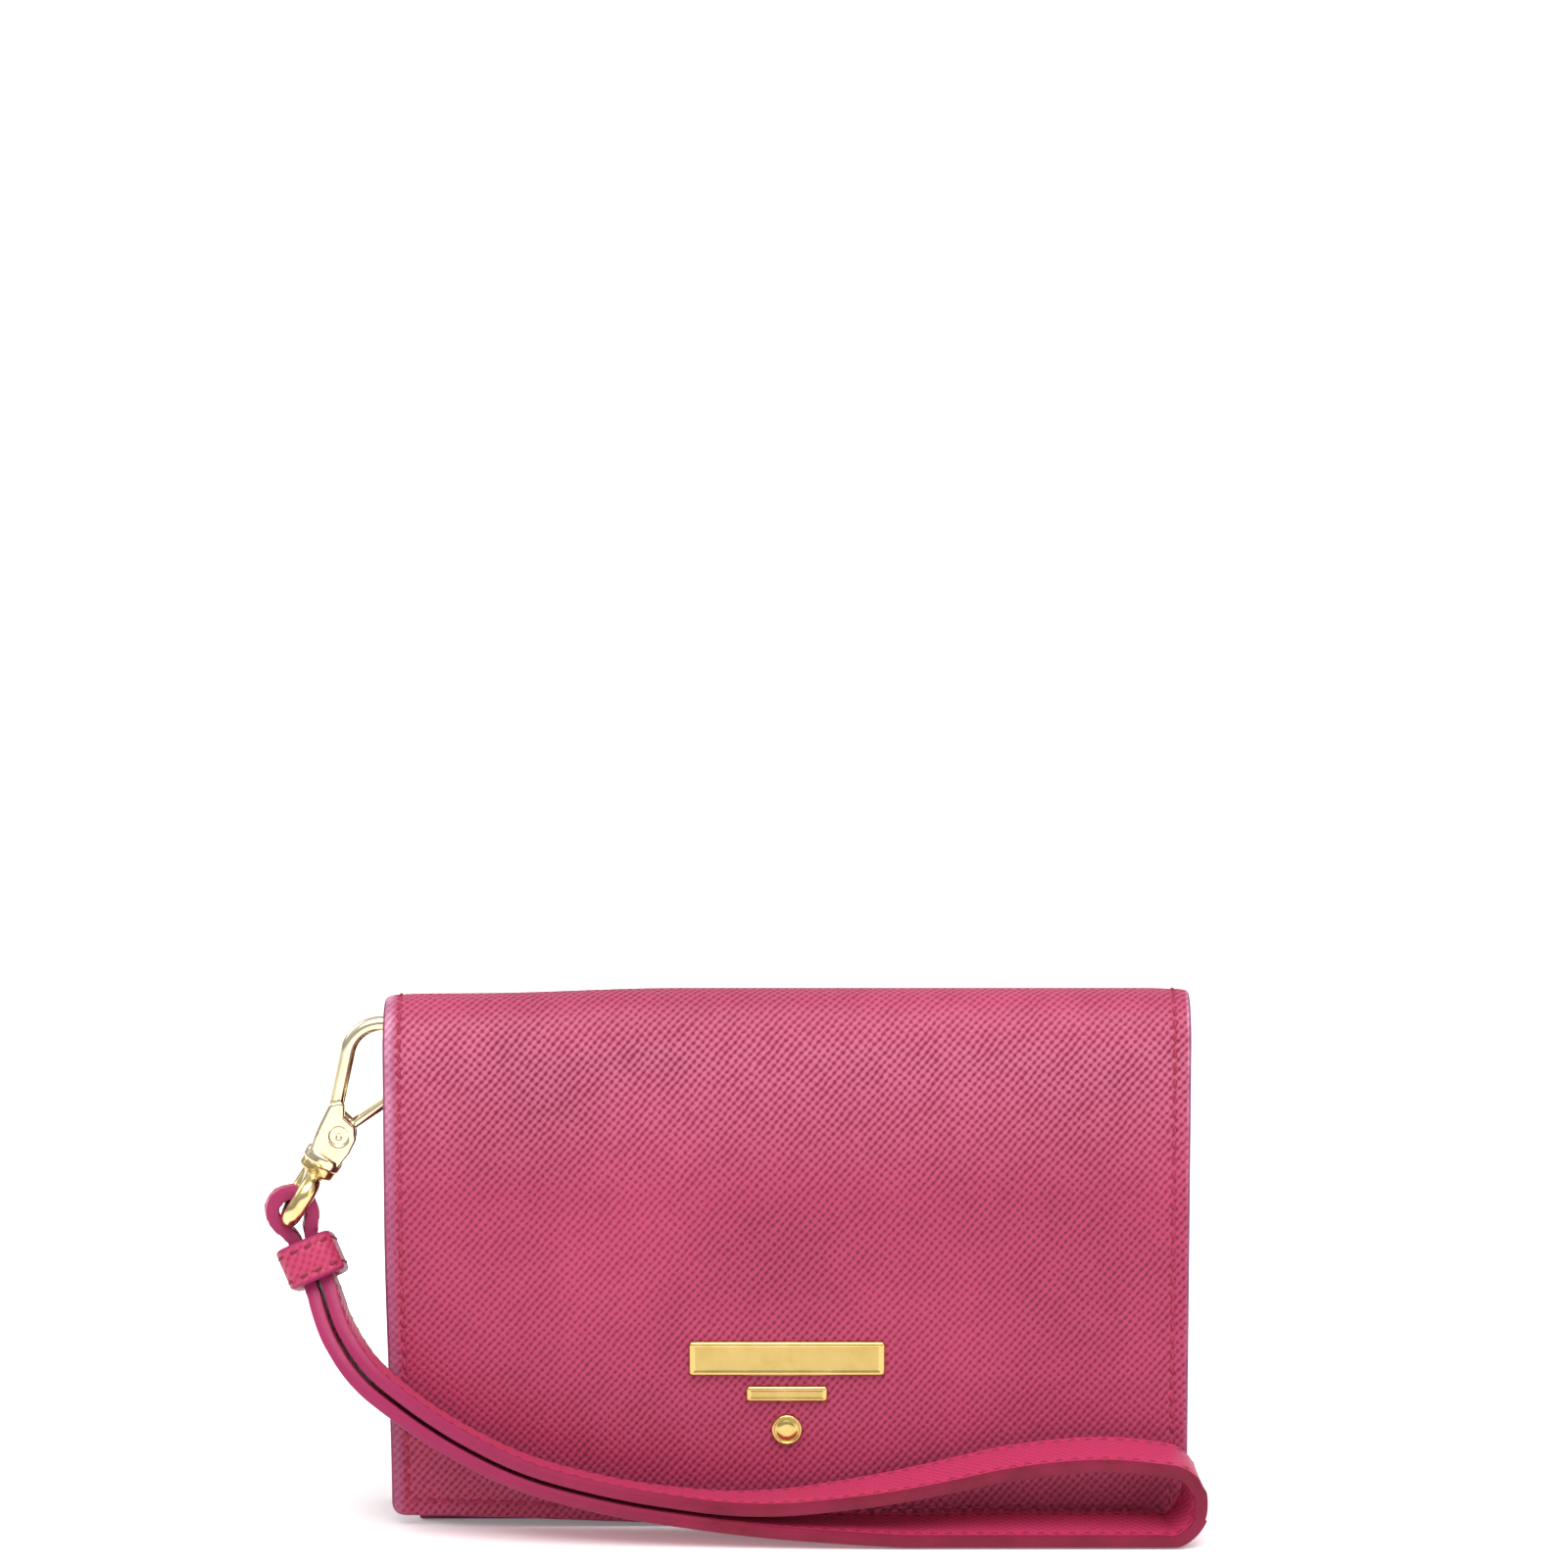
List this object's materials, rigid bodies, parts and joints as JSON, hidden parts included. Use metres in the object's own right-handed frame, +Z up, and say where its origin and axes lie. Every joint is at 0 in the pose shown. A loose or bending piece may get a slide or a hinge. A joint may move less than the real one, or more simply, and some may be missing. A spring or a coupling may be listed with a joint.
{
  "type": "wristlet wallet",
  "caption": "Fold-over leather wallet with a snap-hooked flat wrist strap, a full-height magnetic flap, card slots and a gusseted pocket.",
  "frame": {"origin": "bottom face of the wallet, half way along its width and half way through its thickness", "axes": "+Z up, +X to the wallet's right seen from the flap side, -Y towards the flap side"},
  "size_m": [0.1328, 0.0273, 0.075],
  "materials": {
    "pink_leather": "satin",
    "lining": "matte",
    "gold_hardware": "polished",
    "gold_emblem": "polished",
    "snap_metal": "satin"
  },
  "bodies": {
    "wallet": {"back_leather": "pink_leather", "back_lining": "lining", "base_strip": "pink_leather", "card_slot_1": "lining", "card_slot_2": "lining", "card_slot_3": "lining", "gusset_left": "lining", "gusset_right": "lining", "ring_tab": "pink_leather"},
    "fold": {"spine_leather": "pink_leather", "spine_lining": "lining"},
    "flap": {"flap_leather": "pink_leather", "flap_lining": "lining", "flap_pocket": "lining", "snap_socket": "snap_metal", "socket_washer": "snap_metal", "emblem_bar": "gold_emblem", "emblem_plate": "gold_emblem", "emblem_boss": "gold_emblem"},
    "pocket_wall": {"pocket_front": "pink_leather", "pocket_lining": "lining", "snap_stud": "snap_metal", "stud_washer": "snap_metal"},
    "ring": {"d_ring": "gold_hardware"},
    "hook": {"hook_frame": "gold_hardware", "gate_pin": "gold_hardware", "gate_spring": "snap_metal"},
    "gate": {"gate": "gold_hardware"},
    "swivel": {"swivel_eye": "gold_hardware"},
    "strap": {"strap": "pink_leather"},
    "keeper": {"keeper": "pink_leather"}
  },
  "joints": [
    {"name": "fold_rear", "type": "hinge", "parent": "wallet", "child": "fold", "pos_m": [0, 0.00589, 0.07339], "axis": [-1, 0, 0], "range_deg": [0, 90], "deforming": ["strap"]},
    {"name": "fold_front", "type": "hinge", "parent": "fold", "child": "flap", "pos_m": [0, -0.00589, 0.07339], "axis": [-1, 0, 0], "range_deg": [0, 90], "deforming": ["strap"]},
    {"name": "pocket_tip", "type": "hinge", "parent": "wallet", "child": "pocket_wall", "pos_m": [0, -0.0033, 0.0015], "axis": [1, 0, 0], "range_deg": [0, 13.5], "deforming": ["gusset_left", "gusset_right"]},
    {"name": "ring_swing", "type": "hinge", "parent": "wallet", "child": "ring", "pos_m": [-0.0549, 0.0039, 0.0687], "axis": [0, 0, -1], "range_deg": [0, 90]},
    {"name": "hook_swing", "type": "hinge", "parent": "ring", "child": "hook", "pos_m": [-0.0549, -0.0005, 0.0687], "axis": [0, 1, 0], "range_deg": [0, 20]},
    {"name": "gate_open", "type": "hinge", "parent": "hook", "child": "gate", "pos_m": [-0.06302, -0.0005, 0.05528], "axis": [0, -1, 0], "range_deg": [0, 30], "stiffness_Nm_per_rad": 0.02, "springref_deg": -17.19},
    {"name": "swivel_turn", "type": "hinge", "parent": "hook", "child": "swivel", "pos_m": [-0.06302, -0.0005, 0.05528], "axis": [-0.5299, 0, -0.848], "range_deg": [0, 180]},
    {"name": "strap_swing", "type": "hinge", "parent": "swivel", "child": "strap", "pos_m": [-0.0698, -0.0005, 0.04443], "axis": [0, 1, 0], "range_deg": [0, 100]},
    {"name": "keeper_slide", "type": "slide", "parent": "strap", "child": "keeper", "axis": [0.3769, -0.249, -0.8922], "range_m": [0, 0.002]}
  ],
  "couplings": [
    {"joint": "fold_front", "follows": "fold_rear", "ratio": 1},
    {"joint": "pocket_tip", "follows": "fold_rear", "ratio": 0.15}
  ]
}
